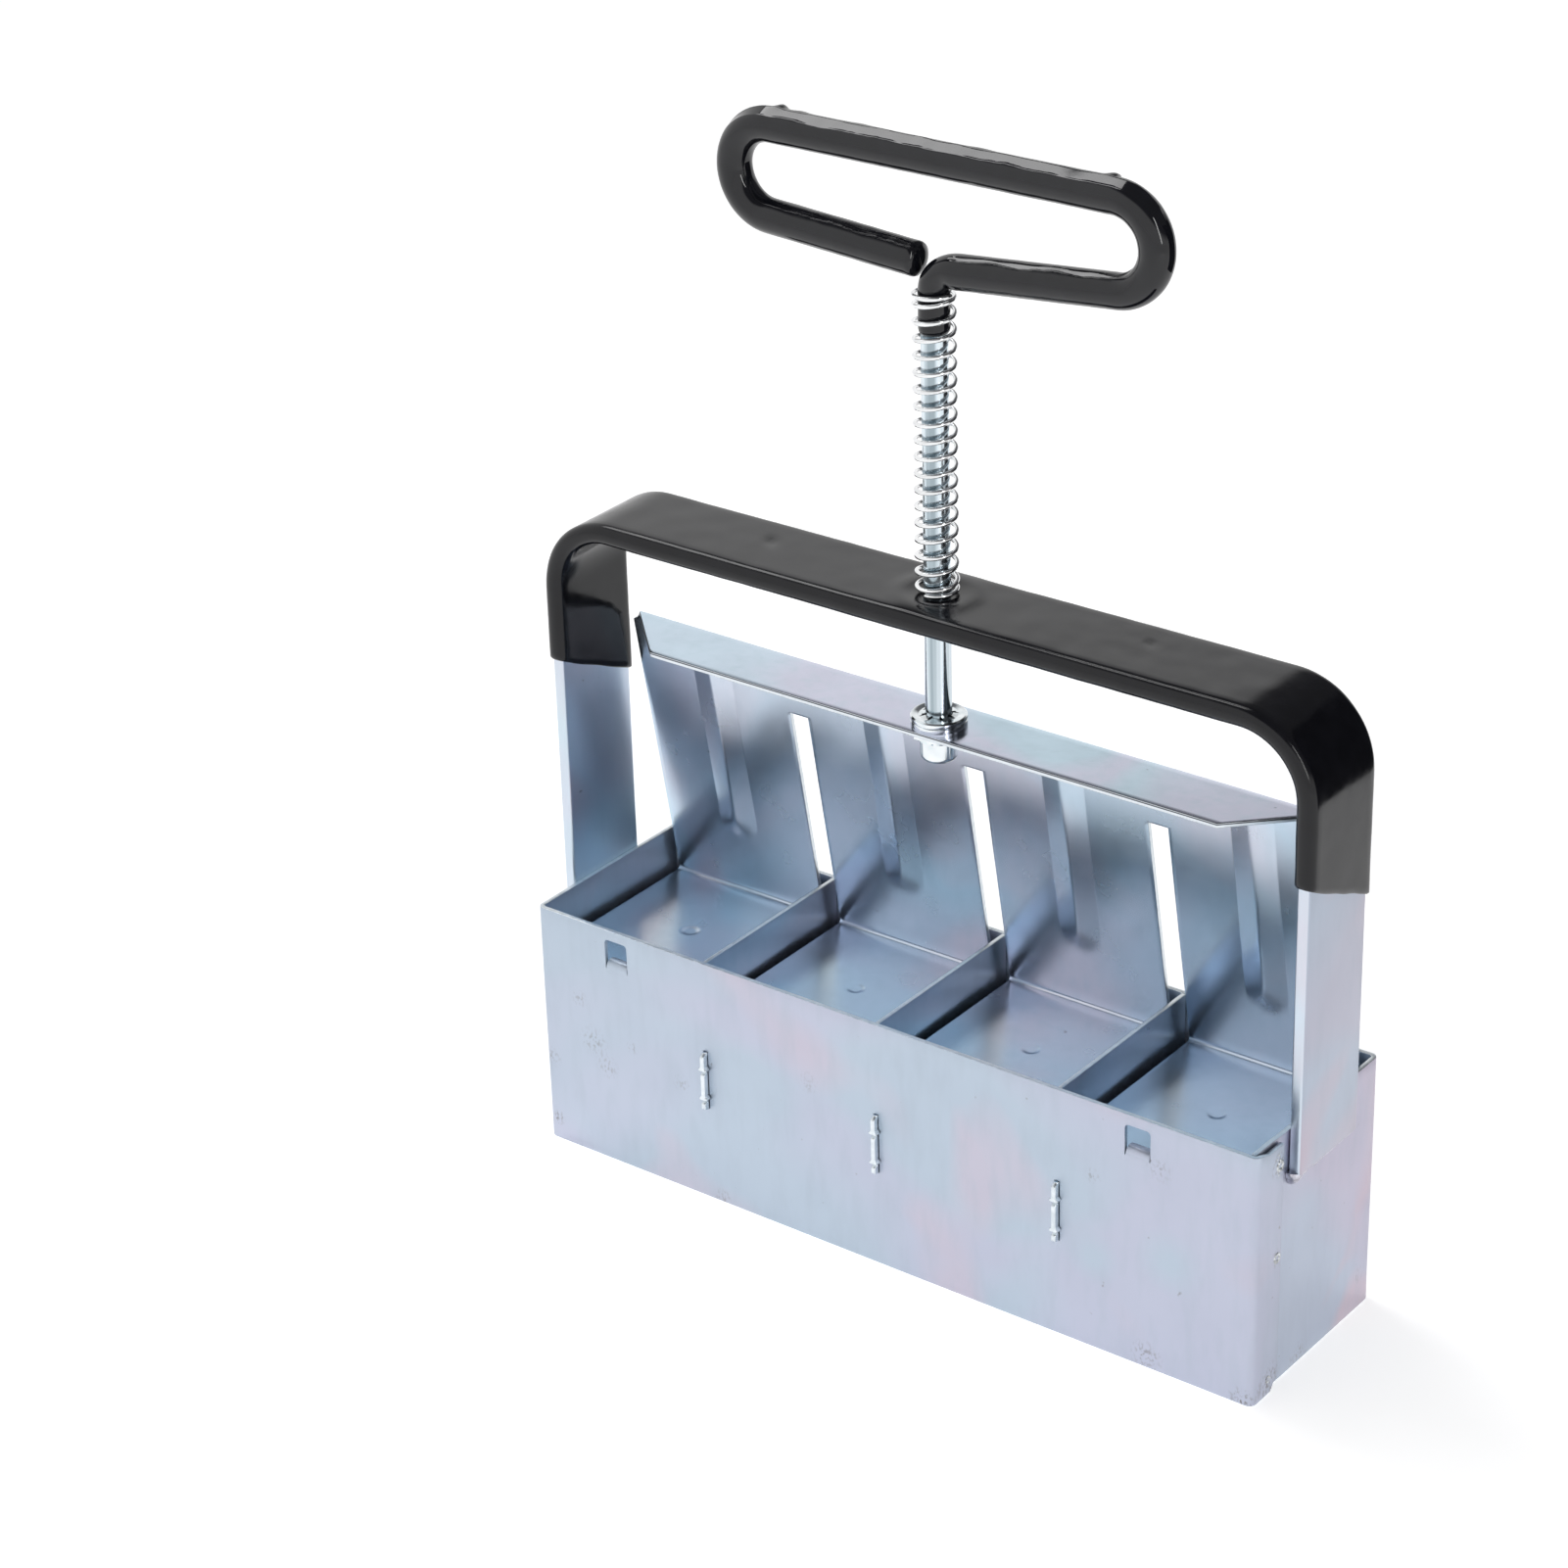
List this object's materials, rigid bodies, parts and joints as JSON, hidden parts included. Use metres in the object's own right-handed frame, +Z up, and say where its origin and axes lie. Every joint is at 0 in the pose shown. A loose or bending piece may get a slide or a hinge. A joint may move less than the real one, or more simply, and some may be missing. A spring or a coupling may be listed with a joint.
{
  "type": "soil blocker",
  "caption": "Hand-held soil blocker: a row of square cells in a folded box, a sprung plunger plate that presses the blocks out, a bent bar frame and a loop handle on a push rod.",
  "frame": {"origin": "on the push rod's axis, in the plane of the box's bottom rim, at the middle of the row of cells", "axes": "+X along the row of cells to the right, -Y out of the front wall, +Z up along the push rod"},
  "size_m": [0.218, 0.0588, 0.2766],
  "materials": {
    "zinc_sheet": "bright blue-white zinc plating, semi-gloss",
    "zinc_bar": "bright zinc plating, semi-gloss",
    "weld_metal": "rough weld, plated over",
    "dipped_coating": "dark glossy dipped vinyl",
    "spring_wire": "bright drawn wire",
    "fastener_metal": "bright plated steel"
  },
  "bodies": {
    "frame": {"box_wall": "zinc_sheet", "divider_left": "zinc_sheet", "divider_middle": "zinc_sheet", "divider_right": "zinc_sheet", "lap_welds": "weld_metal", "frame_strap": "zinc_bar", "strap_weld_left": "weld_metal", "strap_weld_right": "weld_metal", "frame_coating": "dipped_coating", "return_spring": "spring_wire"},
    "plunger": {"plunger_sheet": "zinc_sheet", "push_rod": "zinc_bar", "handle_coating": "dipped_coating", "flat_washer": "fastener_metal", "toothed_ring": "fastener_metal", "cap_nut": "fastener_metal"}
  },
  "joints": [
    {"name": "plunger_slide", "type": "slide", "parent": "frame", "child": "plunger", "axis": [0, 0, -1], "range_m": [0, 0.05], "stiffness_N_per_m": 1250, "springref_m": -0.007, "deforming": ["return_spring"]}
  ]
}
